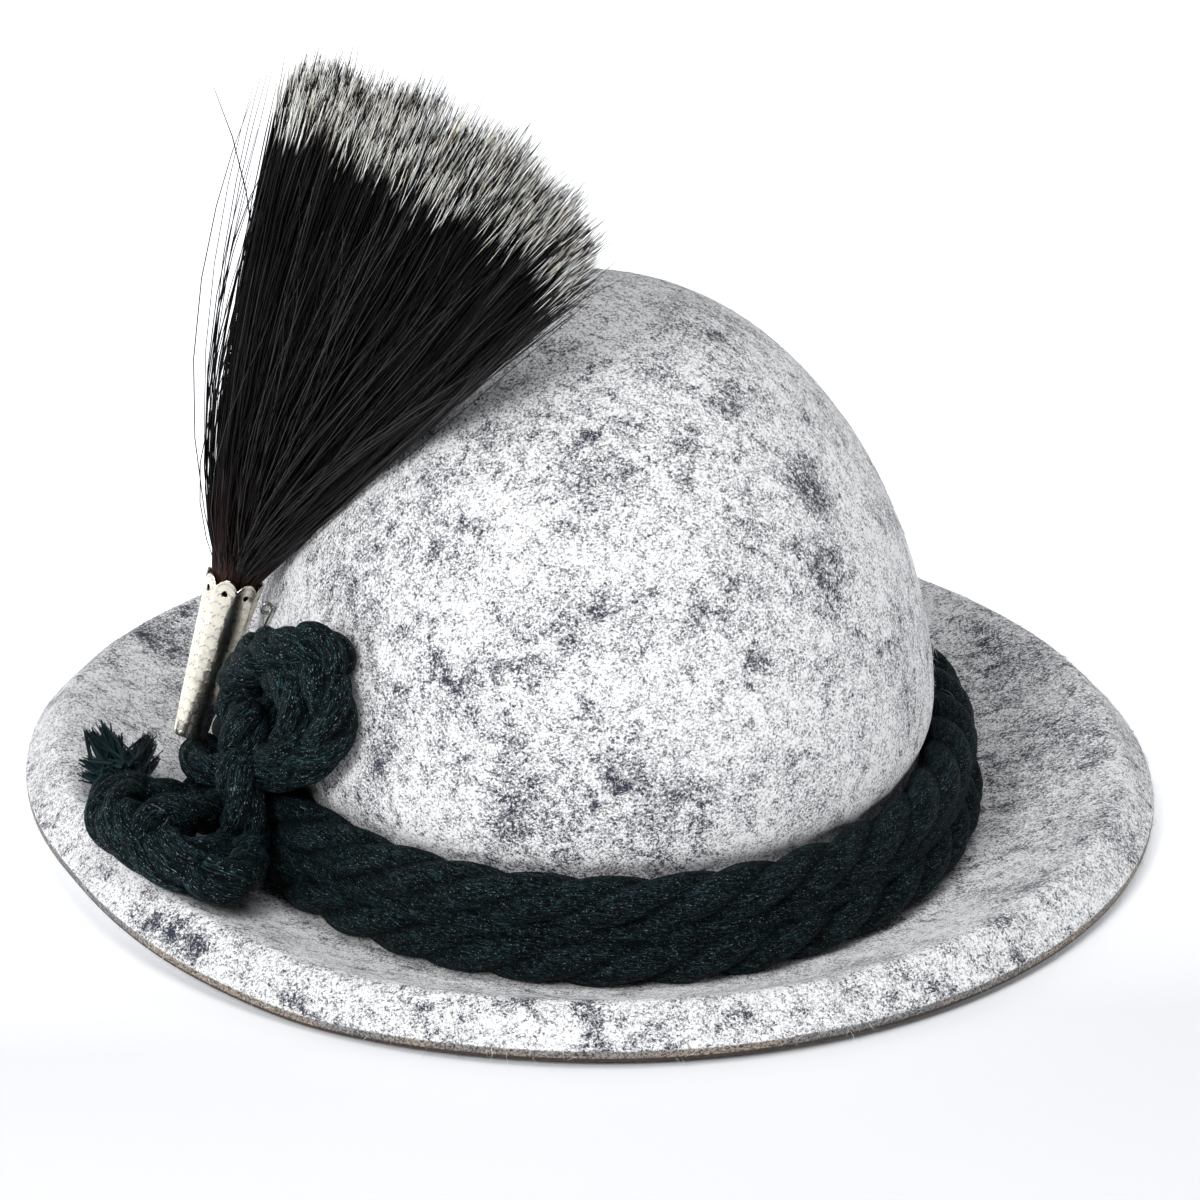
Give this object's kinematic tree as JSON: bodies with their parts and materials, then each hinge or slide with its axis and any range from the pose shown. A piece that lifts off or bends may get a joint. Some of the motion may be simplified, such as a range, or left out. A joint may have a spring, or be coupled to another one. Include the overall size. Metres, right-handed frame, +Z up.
{
  "type": "tyrolean hat",
  "caption": "Felt hat with a round crown, a bowl-shaped brim, a twisted cord band with a knot and frayed end, and a hair brush standing in a scalloped metal sleeve.",
  "frame": {"origin": "on the surface the hat rests on, under the middle of its bounding box", "axes": "+Z up out of the crown, Y along the longer way of the head, the brush at -X"},
  "size_m": [0.2832, 0.3202, 0.2102],
  "materials": {
    "felt": "mottled grey wool felt with short fuzz",
    "cord": "very dark green twisted yarn",
    "sleeve_metal": "bright embossed sheet metal",
    "wire": "plain wire",
    "hair": "black animal hair with white tips"
  },
  "bodies": {
    "root": {"felt_body": "felt", "band_rope_lower": "cord", "band_rope_upper": "cord", "knot": "cord", "knot_wrap": "cord", "tail": "cord", "tail_tassel": "cord", "brush_holder": "sleeve_metal", "holder_pin": "wire", "brush_hair": "hair"}
  },
  "joints": []
}
